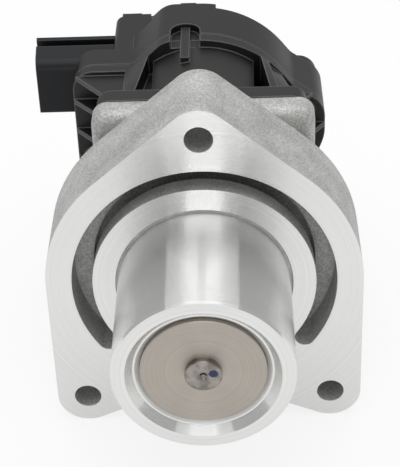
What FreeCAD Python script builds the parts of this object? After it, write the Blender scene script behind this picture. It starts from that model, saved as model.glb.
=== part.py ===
import FreeCAD, Part
import math
import os

from FreeCAD import Vector

# An electric exhaust gas valve: a cast body with a turned nozzle and a poppet disc, pushed open
# by a motor, two gear stages and a helical cam, and closed by a spring.
# Millimetres. The origin is the nozzle's axis on the machined flange face.
# +X is right, +Z is up, and the nozzle points along -Y.

# Fits and clearances
RUNNING = 0.05          # radial gap of a shaft in its bush
SEAT_GAP = 0.08         # closed disc to its seat, square to the cone
ROLLER_PLAY = 0.4       # roller to the wall of its slot
PART_GAP = 0.3          # between moving parts that pass each other
SOCKET_GAP = 0.1        # moulding in its cut-out
CUT_OVER = 1.0          # cutters reach this far past the wall they cut
LEAST_CORNER_R = 0.4    # smallest radius that an inset outline keeps
FAR_OUT = 60.0          # beyond every outline
SAME_POINT = 1e-6
SAME_PLANE = 1e-4

# Flange and bolts
BLOCK_DEPTH = 21.0
BOLT_HOLE_R = 3.4
TOP_BOLT_Z = 40.7
LOW_BOLT_X = 31.0
LOW_BOLT_Z = -34.6
LOBE_R = 7.65
FLANGE_R = LOW_BOLT_X + LOBE_R
NOTCH_DEG = 23.0        # rise of the bottom edges from the low lobes
NOTCH_R = 20.0
CAST_EDGE_R = 1.6

# Nozzle, seat and disc
NOZZLE_R = 21.0
NOZZLE_LENGTH = 35.0
NOZZLE_CHAMFER = 0.5
RELIEF_WIDTH = 0.65     # fine turned groove in the face, at the nozzle's root
RELIEF_DEPTH = 0.4
NOZZLE_SHOULDER = 2.5   # step of the tube where it is pressed into the hub
MOUTH_DEPTH = 2.0
MOUTH_FLARE = 1.7       # radial width of the mouth's cone, outside the seat ring
SEAT_RING_R = 16.0
SEAT_RING_LENGTH = 4.0
SEAT_RING_WALL = 2.6
SEAT_SHOULDER = 1.8     # radial width of the step that the seat ring rests on
SEAT_LAND = 1.6         # from the ring's outside to the disc's edge
DISC_THICKNESS = 2.6
DISC_RECESS = 1.7
DISC_CHAMFER = 0.25
DISC_CONE = 1.2         # radial width of the 45 degree sealing cone
STEM_R = 3.0
SPIGOT_R = 2.4
HEAD_R = 4.25
HEAD_HEIGHT = 1.5
HEAD_CHAMFER = 0.2
NUB_R = 0.55            # pip left in the middle of the head's centre dimple
DIMPLE_R = 1.1
DIMPLE_DEPTH = 0.3
STEM_TAIL = 1.4         # stem behind the cross pin's hole

# Gas passages
SLOT_INNER_R = 27.2
SLOT_OUTER_R = 32.3
SLOT_DEPTH = 10.3
SLOT_BRIDGE_DEG = 101.0
CHAMBER_UNDERCUT = 0.2
HUB_THICKNESS = 5.0
BACK_WALL = 4.0
GUIDE_BOSS_R = 8.5
GUIDE_BOSS_LENGTH = 8.0

# Stem guide and seal
BUSH_R = 5.0
SEAL_POCKET_R = 6.6
SEAL_LENGTH = 4.4
RETAINER_R = 9.0
RETAINER_THICKNESS = 1.0
SEAL_LIP = 1.2          # radial thickness of the lip and of the outer wall
LIP_SET_BACK = 0.4      # lip's tip in front of the seal's rear end

# Rear ears of the casting
NECK_LENGTH = 3.3
NECK_INSET = 5.0
EAR_THICKNESS = 6.5
EAR_LEFT_X = -27.1
EAR_RIGHT_X = 28.1
EAR_TOP_Z = 34.0
EAR_BOTTOM_Z = -25.0
EAR_CORNER_R = 4.0
EAR_EDGE_R = 2.4
EAR_SCREWS = [(-20.0, 12.0), (20.0, 12.0), (-17.5, -10.0), (17.5, -10.0)]
EAR_SCREW_R = 2.0
EAR_SCREW_GRIP = 6.5
EAR_SCREW_HEAD_R = 3.4
EAR_SCREW_HEAD = 2.8
TUNNEL_GAP = 0.4        # round a screw's head in its driver tunnel

# Screws
HEAD_CROWN = 0.3        # share of a screw head's height that is bevelled
SOCKET_SHARE = 0.5      # socket's corner radius as a share of the head's
SCREW_POINT = 0.4

# Actuator housing
PLATE_THICKNESS = 5.2
PLATE_LEFT_X = -26.3
PLATE_RIGHT_X = 26.4
PLATE_TOP_Z = 34.3
STEP_THICKNESS = 2.3
STEP_INSET = 1.4
BARREL_LENGTH = 18.0
BARREL_LEFT_X = -12.5
BARREL_RIGHT_X = 13.4
BARREL_ARC_R = 22.1
BARREL_TOP_Z = 36.4
TUNNEL_R = 8.2
TUNNEL_WALL = 2.0
GASKET_INSET = 0.8      # from the tunnel's wall to the gasket
GASKET_WIDTH = 1.6
GASKET_HEIGHT = 1.2
FLOOR_THICKNESS = 2.0
RIM_DEPTH = 4.0
RIM_WALL = 3.2
SHADOW_GROOVE = 0.45
RIB_THICKNESS = 1.3
RIB_ROOT_X = 11.2       # side ribs start this far out, inside the barrel
LOW_RIB_SET_IN = 4.0    # low ribs end this far above the plate's bottom
RIM_CORNERS = [
    (-34.2, 30.1, 5.5), (-18.6, 30.1, 4.5), (-9.6, 38.5, 6.5), (13.3, 38.5, 28.0),
    (23.9, 24.5, 5.0), (32.3, 18.6, 7.0), (32.3, 9.0, 12.0), (20.0, -24.5, 5.0),
    (-21.5, -24.5, 5.0), (-34.2, 1.0, 10.0),
]
LEFT_POST = ((-19.6, 34.0), (-16.6, 34.0), (-20.1, 29.9), (-13.9, 34.2))
RIGHT_POST = ((17.4, 34.0), (19.4, 34.0), (15.4, 33.6), (17.4, 32.0))
RIGHT_WEB = ((18.4, 32.6), (23.0, 32.6), (16.4, 31.6), (20.8, 27.8))
POST_FOOT_Z = 22.0
LEFT_RIB_Z = (27.6, 20.8, 12.0, 3.5, -5.0, -13.0)
RIGHT_RIB_Z = (21.0, 12.0, 3.5, -5.0, -13.0)
LOW_RIB_X = (-13.1, -4.9, 3.6, 11.8)
LOW_RIB_TOP_Z = 2.0
SIDE_RIB_REACH = 19.2
CLIP_X = -4.1           # middle of the clip rib and of the arch notch
CLIP_WIDTH = 2.4
CLIP_HEIGHT = 1.2
CLIP_REACH = 7.5        # rib length in front of the rim
CLIP_BACK = 9.2         # and behind the rim's front
CLIP_ROOT = 0.9
NOTCH_HALF_WIDTH = 3.8
NOTCH_REACH = 5.7       # arch's depth behind the parting face
NOTCH_FLOOR = 2.2       # wall between the notch and the motor
NOTCH_CLEAR = 6.0       # cutters reach this far above the outline

# Rear cover
BASE_DEPTH = 9.3
ARC_DEPTH = 16.2
CREST_DEPTH = 17.6      # deeper top of the arc, between two values of x
CREST_X = (-13.5, 3.9)
STEP_DEPTH = 18.1       # small platform on the crest
STEP_X = (-5.6, -1.4)
CREST_FOOT_Z = 30.0
DOME_DEPTH = 29.0
DOME_PADS = [(-22.4, -17.0, 1.7), (-17.0, -14.4, 0.7)]   # left, right and height of the back pads
DOME_PAD_FOOT_Z = 23.0
COVER_WALL = 1.6
COVER_SKIRT = 2.4
COVER_EDGE_R = 1.2
ARC_CORNERS = [
    (-19.2, 29.5, 0.0), (-9.6, 38.5, 6.5), (13.3, 38.5, 28.0), (23.9, 24.5, 5.0),
    (32.3, 18.6, 7.0), (32.3, 9.0, 12.0), (25.5, -8.2, 6.0), (-19.2, -8.2, 0.0),
]
DOME_CORNERS = [
    (-24.2, 30.1, 2.2), (12.0, 30.1, 9.0), (20.0, 18.0, 8.0), (19.0, -17.5, 11.0), (-24.2, -17.5, 11.0),
]
COVER_SCREWS = [(25.9, 16.8), (-29.4, 4.0), (15.5, -20.2), (-17.3, -20.2)]
LOBE_BOSS_R = 5.1       # round boss of the first cover screw
LOBE_BOSS_DEPTH = 18.3
COVER_PEG = (-29.4, 25.3)   # locating peg in front of the connector
COVER_PEG_LENGTH = 2.8
HEAD_RECESS_GAP = 0.5
COVER_SCREW_R = 1.6
COVER_HEAD_R = 3.0
COVER_HEAD = 2.2
COVER_BOSS_R = 3.6
COVER_BOSS_LENGTH = 6.0
COVER_SCREW_GRIP = 4.5
BOSS_FLOOR = 1.0        # solid end of a blind screw or peg hole
SEAL_SET_IN = 1.0
SEAL_WIDTH = 1.2
SEAL_HEIGHT = 1.1
BASE_ROOM_DEPTH = 2.4   # hollow of the base, in front of the connector
BUSH_BOSS_WALL = 2.0
BUSH_BOSS_LIP = 0.4     # boss in front of the cam bush
BOSS_ROOT = 0.5         # inner bosses sink this far into the dome's back

# Connector
SHELL_REACH_X = -44.8
MOUTH_SLANT = 1.1       # the mouth's rear edge stands this much further out
SHELL_FRONT_Y = 5.0     # from the parting face
SHELL_WIDTH = 15.6
SHELL_TOP_Z = 28.4
SHELL_HEIGHT = 15.6
SHELL_WALL = 1.6
SHELL_FLOOR_X = -32.0
SHELL_CORNER_R = 0.9
SHELL_TOP_EDGE_R = 3.0  # long edge between the front and the top
GROOVE_SET_BACK = 9.7
GROOVE_WIDTH = 3.6
GROOVE_DEPTH = 3.4
PIN_COUNT = 5
PIN_PITCH = 2.0
PIN_SIZE = 0.7
PIN_TIP_X = -38.5
TAIL_MARGIN = 3.0       # tail inside the shell's outline
TAIL_DROP = 1.8         # and its top lower by this

# Motor
MOTOR_Z = 22.0
MOTOR_R = 11.5
MOTOR_FLAT = 9.9
CAN_WALL = 1.0
CAN_LENGTH = 22.8
MOTOR_POCKET_GAP = 0.1
POCKET_FRONT = 0.8      # room in front of the can
CAN_SET_BACK = 1.6      # can's front behind the plate
END_CAP_LENGTH = 2.5
MOTOR_SHAFT_R = 1.0
SHAFT_FRONT = 0.6       # shaft in front of the can
SHAFT_TAIL = 1.2        # and behind the fast gears
MOTOR_BUSH_R = 2.8
BUSH_STANDS_IN = 1.2    # front bush inside the can's end wall
CORE_R = 8.2
CORE_LENGTH = 12.0
CORE_SET_BACK = 3.2     # behind the can's end wall
CORE_SLOTS = 3
CORE_SLOT_WIDTH = 1.6
CORE_HUB_R = 3.0
SLOT_ROOM_INSET = 0.6
SLOT_ROOM_SHIFT = 0.4
WINDING_REACH = 1.4     # end turns outside the core
MAGNET_R = 8.9
MAGNET_HALF_DEG = 48.0
MAGNET_LENGTH = 14.0
COMMUTATOR_R = 2.4
COMMUTATOR_LENGTH = 3.0
BRUSH_SIZE = 1.6
BRUSH_SET_BACK = 2.0

# Gears
PRESSURE_DEG = 25.0
BACKLASH = 0.16
ROOT_FACTOR = 1.25
FAST_MODULE = 0.55
FAST_PINION_TEETH = 12
FAST_GEAR_TEETH = 36
SLOW_MODULE = 0.75
SLOW_PINION_TEETH = 12
SLOW_GEAR_TEETH = 40
SECTOR_TEETH = 15
SECTOR_FACE = 4.0
FAST_FACE = 3.0
GEAR_PLANE_GAP = 1.0
PINION_SHOULDER = 0.6   # extra gap between the gear planes
PINION_FRONT = 0.4      # motor pinion in front of the idler gear
PINION_REAR = 0.6       # and behind it
SECTOR_OVERRUN = 1.5    # teeth past the mesh at rest
AXLE_R = 1.0

# Cam
LIFT = 7.0
CAM_TURN_DEG = 100.0
SLEEVE_BORE_R = 5.0
SLEEVE_R = 6.8
JOURNAL_R = 4.0
SECTOR_HUB_R = 9.5
GUIDE_WALL = 2.3
GUIDE_SEAT_DEPTH = 6.4
GUIDE_END_WALL = 1.0    # guide behind its slots
SLEEVE_SET_IN = 0.8     # sleeve's front behind the guide's
SLEEVE_FLOOR = 0.9
HELIX_STEPS = 8
JOURNAL_END = 0.6       # journal behind its bush
PIN_R = 1.25
PIN_SET_BACK = 3.0      # cross pin behind the parting face, valve closed
PIN_END_GAP = 0.25
ROLLER_R = 2.0
CAM_ROLLER_GAP = 0.1    # roller's ends inside the sleeve's wall
GUIDE_ROLLER_GAPS = (0.15, 0.2)
CAM_BUSH_R = 8.0
CAM_BUSH_LENGTH = 4.0
MAGNET_CUP_R = 5.0
MAGNET_CUP_LENGTH = 3.0
SENSOR_MAGNET_R = 3.5
SENSOR_MAGNET_LENGTH = 2.2
BOARD_R = 7.4
BOARD_THICKNESS = 1.0
CHIP_SIZE = 5.0
CHIP_HEIGHT = 0.9

# Return spring
WIRE_R = 0.7
COIL_R = 6.6
COIL_TURNS = 6
SPRING_LENGTH = 20.0
SPRING_PLATE_R = 7.6
SPRING_PLATE_THICKNESS = 1.2
COLLET_LENGTH = 1.7
COLLET_R = 4.4
COLLET_SPLIT = 0.4
COLLET_TAPER = 0.6

# Radii inside the nozzle, from the seat ring outwards and inwards
MOUTH_R = SEAT_RING_R + MOUTH_FLARE
DISC_R = SEAT_RING_R - SEAT_LAND
BORE_R = SEAT_RING_R - SEAT_SHOULDER
THROAT_R = SEAT_RING_R - SEAT_RING_WALL
TUBE_SEAT_R = NOZZLE_R - NOZZLE_SHOULDER

# Stations along Y
SEAT_FACE_Y = -NOZZLE_LENGTH + MOUTH_DEPTH
DISC_FACE_Y = -NOZZLE_LENGTH + DISC_RECESS
DISC_BACK_Y = DISC_FACE_Y + DISC_THICKNESS
CHAMBER_END_Y = BLOCK_DEPTH - BACK_WALL
BOSS_Y = CHAMBER_END_Y - GUIDE_BOSS_LENGTH
EAR_FRONT_Y = BLOCK_DEPTH + NECK_LENGTH
MOUNT_Y = EAR_FRONT_Y + EAR_THICKNESS
PLATE_Y = MOUNT_Y + PLATE_THICKNESS
RIM_Y = PLATE_Y + BARREL_LENGTH
FLOOR_Y = RIM_Y + FLOOR_THICKNESS
PARTING_Y = RIM_Y + RIM_DEPTH
SEAL_END_Y = BLOCK_DEPTH + SEAL_LENGTH
SPRING_SEAT_Y = SEAL_END_Y + RETAINER_THICKNESS
SPRING_PLATE_Y = SPRING_SEAT_Y + SPRING_LENGTH
GUIDE_Y = FLOOR_Y - GUIDE_SEAT_DEPTH
PIN_Y = PARTING_Y + PIN_SET_BACK
GUIDE_END_Y = PIN_Y + ROLLER_R + ROLLER_PLAY + GUIDE_END_WALL
SECTOR_Y = GUIDE_END_Y + PART_GAP + SLEEVE_FLOOR
SECTOR_END_Y = SECTOR_Y + SECTOR_FACE
FAST_Y = SECTOR_END_Y + GEAR_PLANE_GAP + PINION_SHOULDER
FAST_END_Y = FAST_Y + FAST_FACE
CAM_BUSH_Y = FAST_END_Y + GEAR_PLANE_GAP
CUP_Y = CAM_BUSH_Y + CAM_BUSH_LENGTH + JOURNAL_END
DOME_INNER_Y = PARTING_Y + DOME_DEPTH - COVER_WALL
CAN_Y = PLATE_Y + CAN_SET_BACK
CAN_END_Y = CAN_Y + CAN_LENGTH
SHELL_Y = PARTING_Y + SHELL_FRONT_Y
SHELL_BACK_Y = SHELL_Y + SHELL_WIDTH
SHELL_BOTTOM_Z = SHELL_TOP_Z - SHELL_HEIGHT

# Gear centres: the idler stands where both centre distances meet, left of the motor
FAST_DISTANCE = FAST_MODULE * (FAST_PINION_TEETH + FAST_GEAR_TEETH) / 2
SLOW_DISTANCE = SLOW_MODULE * (SLOW_PINION_TEETH + SLOW_GEAR_TEETH) / 2
IDLER_Z = (SLOW_DISTANCE ** 2 - FAST_DISTANCE ** 2 + MOTOR_Z ** 2) / (2 * MOTOR_Z)
IDLER_X = -math.sqrt(SLOW_DISTANCE ** 2 - IDLER_Z ** 2)

Y_AXIS = Vector(0, 1, 0)
AXIS_POINT = Vector(0, 0, 0)


def cylinder(radius, y0, y1, x=0.0, z=0.0):
    """A round bar along Y."""
    return Part.makeCylinder(radius, y1 - y0, Vector(x, y0, z), Y_AXIS)


def ring(inner, outer, y0, y1, x=0.0, z=0.0):
    """A tube along Y."""
    return cylinder(outer, y0, y1, x, z).cut(cylinder(inner, y0, y1, x, z))


def box(x0, x1, y0, y1, z0, z1):
    """A block between two corners."""
    return Part.makeBox(x1 - x0, y1 - y0, z1 - z0, Vector(x0, y0, z0))


def bar_x(radius, x0, x1, y, z=0.0):
    """A round bar along X."""
    return Part.makeCylinder(radius, x1 - x0, Vector(x0, y, z), Vector(1, 0, 0))


def turned(profile):
    """A solid of revolution about the valve's axis, from (y, radius) points."""
    points = [Vector(radius, y, 0) for y, radius in profile]
    face = Part.Face(Part.makePolygon(points + [points[0]]))
    return face.revolve(AXIS_POINT, Y_AXIS, 360)


def fuse(shapes):
    """One solid from several that meet."""
    return shapes[0].multiFuse(shapes[1:]).removeSplitter()


def at(x, z, y):
    """A point of an outline lying in the plane of one y."""
    return Vector(x, y, z)


def rounded_wire(corners, y):
    """A closed outline of (x, z, radius) corners, each rounded by a tangent arc."""
    count = len(corners)
    points = [at(x, z, y) for x, z, radius in corners]
    starts, middles, ends = [], [], []
    for i in range(count):
        corner = points[i]
        before = (points[i - 1] - corner).normalize()
        after = (points[(i + 1) % count] - corner).normalize()
        half = before.getAngle(after) / 2
        radius = corners[i][2]
        run = radius / math.tan(half)
        middle = radius / math.sin(half) - radius
        inward = before + after
        starts.append(corner + before * run)
        ends.append(corner + after * run)
        middles.append(corner + inward.normalize() * middle if radius else corner)
    edges = []
    for i in range(count):
        if corners[i][2]:
            edges.append(Part.Arc(starts[i], middles[i], ends[i]).toShape())
        following = starts[(i + 1) % count]
        if ends[i].distanceToPoint(following) > SAME_POINT:
            edges.append(Part.LineSegment(ends[i], following).toShape())
    return Part.Wire(edges)


def inset(corners, distance):
    """The same corners with every side moved inwards and every radius kept concentric."""
    count = len(corners)
    area = sum(corners[i - 1][0] * corners[i][1] - corners[i][0] * corners[i - 1][1] for i in range(count))
    side = 1.0 if area > 0 else -1.0
    lines = []
    for i in range(count):
        x0, z0 = corners[i][:2]
        x1, z1 = corners[(i + 1) % count][:2]
        length = math.hypot(x1 - x0, z1 - z0)
        dx, dz = (x1 - x0) / length, (z1 - z0) / length
        lines.append((x0 - side * dz * distance, z0 + side * dx * distance, dx, dz))
    moved = []
    for i in range(count):
        ax, az, adx, adz = lines[i - 1]
        bx, bz, bdx, bdz = lines[i]
        cross = adx * bdz - adz * bdx
        along = ((bx - ax) * bdz - (bz - az) * bdx) / cross
        convex = side * cross > 0
        radius = corners[i][2]
        if radius:
            radius = max(radius - distance if convex else radius + distance, LEAST_CORNER_R)
        moved.append((ax + adx * along, az + adz * along, radius))
    return moved


def prism(corners, y0, y1):
    """An outline of rounded corners, extruded along Y."""
    return Part.Face(rounded_wire(corners, y0)).extrude(Vector(0, y1 - y0, 0))


def tangent_wire(discs, y):
    """The belt round (x, z, radius) discs listed clockwise as seen from the front."""
    count = len(discs)
    leaves, arrives = [None] * count, [None] * count
    for i in range(count):
        x0, z0, r0 = discs[i]
        x1, z1, r1 = discs[(i + 1) % count]
        span = math.hypot(x1 - x0, z1 - z0)
        heading = math.atan2(z1 - z0, x1 - x0)
        normal = heading + math.pi / 2 + math.asin((r1 - r0) / span)
        leaves[i] = normal
        arrives[(i + 1) % count] = normal
    edges = []
    for i in range(count):
        x, z, radius = discs[i]
        start, end = arrives[i], leaves[i]
        sweep = (start - end) % (2 * math.pi)
        angles = [start - sweep * k / 2 for k in range(3)]
        spots = [at(x + radius * math.cos(a), z + radius * math.sin(a), y) for a in angles]
        edges.append(Part.Arc(*spots).toShape())
        nx, nz, nr = discs[(i + 1) % count]
        following = at(nx + nr * math.cos(end), nz + nr * math.sin(end), y)
        edges.append(Part.LineSegment(spots[2], following).toShape())
    return Part.Wire(edges)


def edges_at_y(shape, y):
    """Every edge that lies wholly in the plane of one y."""
    chosen = []
    for edge in shape.Edges:
        bounds = edge.BoundBox
        if abs(bounds.YMin - y) < SAME_PLANE and abs(bounds.YMax - y) < SAME_PLANE:
            chosen.append(edge)
    return chosen


def edges_along_x(shape, y, z):
    """Every edge that runs along X at one y and z."""
    return [edge for edge in edges_at_y(shape, y)
            if abs(edge.BoundBox.ZMin - z) < SAME_PLANE and abs(edge.BoundBox.ZMax - z) < SAME_PLANE]

# Casting

def flange_block():
    """The lobed block, straight sided, with its bottom notch."""
    discs = [(0, TOP_BOLT_Z, LOBE_R), (0, 0, FLANGE_R), (LOW_BOLT_X, LOW_BOLT_Z, LOBE_R),
             (-LOW_BOLT_X, LOW_BOLT_Z, LOBE_R), (0, 0, FLANGE_R)]
    block = Part.Face(tangent_wire(discs, 0)).extrude(Vector(0, BLOCK_DEPTH, 0))
    rise = math.radians(NOTCH_DEG)
    foot_x = LOW_BOLT_X - LOBE_R * math.sin(rise)
    foot_z = LOW_BOLT_Z - LOBE_R * math.cos(rise)
    peak_z = foot_z + foot_x * math.tan(rise)
    below = foot_z - LOBE_R
    notch = [(0, peak_z, NOTCH_R), (foot_x, foot_z, 0), (LOW_BOLT_X, foot_z, 0), (LOW_BOLT_X, below, 0),
             (-LOW_BOLT_X, below, 0), (-LOW_BOLT_X, foot_z, 0), (-foot_x, foot_z, 0)]
    lobes = [cylinder(LOBE_R, 0, BLOCK_DEPTH, x, LOW_BOLT_Z) for x in (-LOW_BOLT_X, LOW_BOLT_X)]
    block = block.cut(prism(notch, 0, BLOCK_DEPTH).cut(lobes))
    return block.makeFillet(CAST_EDGE_R, edges_at_y(block, BLOCK_DEPTH))


def ear_corners(shrink=0.0):
    """The outline of the ears, and of their neck when it is shrunk."""
    corners = [(EAR_LEFT_X, EAR_TOP_Z, EAR_CORNER_R), (EAR_RIGHT_X, EAR_TOP_Z, EAR_CORNER_R),
               (EAR_RIGHT_X, EAR_BOTTOM_Z, EAR_CORNER_R), (EAR_LEFT_X, EAR_BOTTOM_Z, EAR_CORNER_R)]
    return inset(corners, shrink) if shrink else corners


def ears():
    """The rear plate that carries the actuator, on a narrower neck."""
    plate = prism(ear_corners(), EAR_FRONT_Y, MOUNT_Y)
    plate = plate.makeFillet(EAR_EDGE_R, edges_at_y(plate, EAR_FRONT_Y))
    neck = prism(ear_corners(NECK_INSET), BLOCK_DEPTH - BACK_WALL / 2, EAR_FRONT_Y + EAR_THICKNESS / 2)
    return fuse([plate, neck])


def horseshoe():
    """The gas slot: a ring open over the bottom bridge, with round ends."""
    mid_r = (SLOT_INNER_R + SLOT_OUTER_R) / 2
    end_r = (SLOT_OUTER_R - SLOT_INNER_R) / 2
    half = math.pi - math.radians(SLOT_BRIDGE_DEG) / 2 - end_r / mid_r

    def polar(radius, angle):
        return at(radius * math.sin(angle), radius * math.cos(angle), 0)

    def cap(angle, way):
        return Part.Arc(polar(SLOT_OUTER_R, angle), polar(mid_r, angle + way * end_r / mid_r),
                        polar(SLOT_INNER_R, angle)).toShape()

    outer = Part.Arc(polar(SLOT_OUTER_R, -half), polar(SLOT_OUTER_R, 0), polar(SLOT_OUTER_R, half)).toShape()
    inner = Part.Arc(polar(SLOT_INNER_R, -half), polar(SLOT_INNER_R, 0), polar(SLOT_INNER_R, half)).toShape()
    outline = Part.Wire(Part.__sortEdges__([outer, cap(half, 1), inner, cap(-half, -1)]))
    return Part.Face(outline).extrude(Vector(0, SLOT_DEPTH, 0))


def gas_chamber():
    """The hub's bore for the tube and the room behind the hub, round the guide boss."""
    chamber_r = SLOT_INNER_R + CHAMBER_UNDERCUT
    return turned([
        (0, 0), (0, TUBE_SEAT_R), (HUB_THICKNESS, TUBE_SEAT_R), (HUB_THICKNESS, chamber_r),
        (CHAMBER_END_Y, chamber_r), (CHAMBER_END_Y, GUIDE_BOSS_R), (BOSS_Y, GUIDE_BOSS_R), (BOSS_Y, 0)])


def stem_bore():
    """Bush bore, seal pocket and retainer pocket from the rear."""
    return turned([
        (BOSS_Y, 0), (BOSS_Y, BUSH_R), (BLOCK_DEPTH, BUSH_R), (BLOCK_DEPTH, SEAL_POCKET_R),
        (SEAL_END_Y, SEAL_POCKET_R), (SEAL_END_Y, RETAINER_R), (MOUNT_Y, RETAINER_R), (MOUNT_Y, 0)])


def valve_body():
    body = fuse([flange_block(), ears()])
    bolts = [(0, TOP_BOLT_Z), (LOW_BOLT_X, LOW_BOLT_Z), (-LOW_BOLT_X, LOW_BOLT_Z)]
    groove = ring(NOZZLE_R, NOZZLE_R + RELIEF_WIDTH, 0, RELIEF_DEPTH)
    cuts = [gas_chamber(), horseshoe(), stem_bore(), groove]
    cuts += [cylinder(BOLT_HOLE_R, 0, BLOCK_DEPTH, x, z) for x, z in bolts]
    cuts += [cylinder(EAR_SCREW_R, MOUNT_Y - EAR_SCREW_GRIP, MOUNT_Y, x, z) for x, z in EAR_SCREWS]
    return body.cut(cuts)


def nozzle_tube():
    """Turned tube with the mouth cone and the seat's pocket, pressed into the hub up to its shoulder."""
    front = -NOZZLE_LENGTH
    pocket_end = SEAT_FACE_Y + SEAT_RING_LENGTH
    return turned([
        (front, MOUTH_R), (front, NOZZLE_R - NOZZLE_CHAMFER), (front + NOZZLE_CHAMFER, NOZZLE_R),
        (0, NOZZLE_R), (0, TUBE_SEAT_R), (HUB_THICKNESS, TUBE_SEAT_R), (HUB_THICKNESS, BORE_R),
        (pocket_end, BORE_R), (pocket_end, SEAT_RING_R), (SEAT_FACE_Y, SEAT_RING_R)])


def seat_ring():
    """Pressed ring whose 45 degree seat stands one gap off the closed disc."""
    cone_sum = DISC_R + DISC_BACK_Y - DISC_CONE + SEAT_GAP * math.sqrt(2)
    back = SEAT_FACE_Y + SEAT_RING_LENGTH
    return turned([
        (SEAT_FACE_Y, cone_sum - SEAT_FACE_Y), (SEAT_FACE_Y, SEAT_RING_R), (back, SEAT_RING_R),
        (back, THROAT_R), (cone_sum - THROAT_R, THROAT_R)])


def stem_guide_bush():
    return ring(STEM_R + RUNNING, BUSH_R, BOSS_Y, BLOCK_DEPTH)


def stem_seal():
    """Lip seal: a square back with a lip that leans on to the stem."""
    bore = STEM_R + RUNNING
    lip = BLOCK_DEPTH + SEAL_LENGTH / 2
    return turned([
        (BLOCK_DEPTH, bore), (BLOCK_DEPTH, SEAL_POCKET_R), (SEAL_END_Y, SEAL_POCKET_R),
        (SEAL_END_Y, SEAL_POCKET_R - SEAL_LIP), (lip, bore + SEAL_LIP), (SEAL_END_Y - LIP_SET_BACK, bore)])


def seal_retainer():
    return ring(STEM_R + PART_GAP, RETAINER_R, SEAL_END_Y, SPRING_SEAT_Y)


# Valve

def valve_disc():
    land = DISC_BACK_Y - DISC_CONE
    return turned([
        (DISC_FACE_Y, SPIGOT_R), (DISC_FACE_Y, DISC_R - DISC_CHAMFER),
        (DISC_FACE_Y + DISC_CHAMFER / 2, DISC_R),
        (land, DISC_R), (DISC_BACK_Y, DISC_R - DISC_CONE), (DISC_BACK_Y, SPIGOT_R)])


def valve_stem():
    """Stem with its riveted head, spigot through the disc and cross pin hole."""
    head_y = DISC_FACE_Y - HEAD_HEIGHT
    end = PIN_Y + PIN_R + STEM_TAIL
    stem = turned([
        (head_y, 0), (head_y, NUB_R), (head_y + DIMPLE_DEPTH, NUB_R), (head_y, DIMPLE_R),
        (head_y, HEAD_R - HEAD_CHAMFER), (head_y + HEAD_CHAMFER, HEAD_R), (DISC_FACE_Y, HEAD_R),
        (DISC_FACE_Y, SPIGOT_R), (DISC_BACK_Y, SPIGOT_R), (DISC_BACK_Y, STEM_R), (end, STEM_R), (end, 0)])
    return stem.cut(bar_x(PIN_R, -STEM_R, STEM_R, PIN_Y))


def spring_plate():
    y = SPRING_PLATE_Y
    return ring(STEM_R, SPRING_PLATE_R, y, y + SPRING_PLATE_THICKNESS)


def plate_collet():
    """Two tapered halves that lock the spring plate on the stem."""
    y0 = SPRING_PLATE_Y + SPRING_PLATE_THICKNESS
    y1 = y0 + COLLET_LENGTH
    cone = turned([(y0, STEM_R), (y0, COLLET_R), (y1, COLLET_R - COLLET_TAPER), (y1, STEM_R)])
    return cone.cut(box(-COLLET_SPLIT, COLLET_SPLIT, y0, y1, -COLLET_R, COLLET_R))


def return_spring():
    rise = SPRING_LENGTH - 2 * WIRE_R
    helix = Part.makeHelix(rise / COIL_TURNS, rise, COIL_R)
    section = Part.Wire(Part.makeCircle(WIRE_R, Vector(COIL_R, 0, 0), Y_AXIS))
    coil = Part.Wire(helix).makePipeShell([section], True, True)
    coil.rotate(AXIS_POINT, Vector(1, 0, 0), -90)
    coil.translate(Vector(0, SPRING_SEAT_Y + WIRE_R, 0))
    return coil


def cross_pin():
    reach = SLEEVE_R + GUIDE_WALL - PIN_END_GAP
    return bar_x(PIN_R, -reach, reach, PIN_Y)


def pair_of_rollers(x0, x1):
    bars = []
    for start in (x0, -x1):
        roller = bar_x(ROLLER_R, start, start + x1 - x0, PIN_Y)
        bars.append(roller.cut(bar_x(PIN_R, start, start + x1 - x0, PIN_Y)))
    return Part.makeCompound(bars)


def cam_rollers():
    return pair_of_rollers(SLEEVE_BORE_R + CAM_ROLLER_GAP, SLEEVE_R - CAM_ROLLER_GAP)


def guide_rollers():
    inner, outer = GUIDE_ROLLER_GAPS
    return pair_of_rollers(SLEEVE_R + inner, SLEEVE_R + GUIDE_WALL - outer)


# Cam

def helical_slot(start_deg):
    """One slot through the sleeve: radial sections lofted down the helix, with round ends."""
    half = ROLLER_R + ROLLER_PLAY
    slope = LIFT / (SLEEVE_BORE_R * math.radians(CAM_TURN_DEG))
    half_y = half * math.hypot(1, slope)
    inner, outer = SLEEVE_BORE_R - CUT_OVER, SLEEVE_R + CUT_OVER

    def section(turn):
        angle = math.radians(start_deg - turn)
        y = PIN_Y - LIFT * turn / CAM_TURN_DEG
        points = [Vector(r * math.cos(angle), y + side * half_y, r * math.sin(angle))
                  for r, side in ((inner, -1), (outer, -1), (outer, 1), (inner, 1))]
        return Part.makePolygon(points + [points[0]])

    def end(turn):
        angle = math.radians(start_deg - turn)
        outward = Vector(math.cos(angle), 0, math.sin(angle))
        y = PIN_Y - LIFT * turn / CAM_TURN_DEG
        return Part.makeCylinder(half, outer, Vector(0, y, 0), outward)

    turns = [CAM_TURN_DEG * i / HELIX_STEPS for i in range(HELIX_STEPS + 1)]
    channel = Part.makeLoft([section(turn) for turn in turns], True, False)
    return [channel, end(0), end(CAM_TURN_DEG)]


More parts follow.
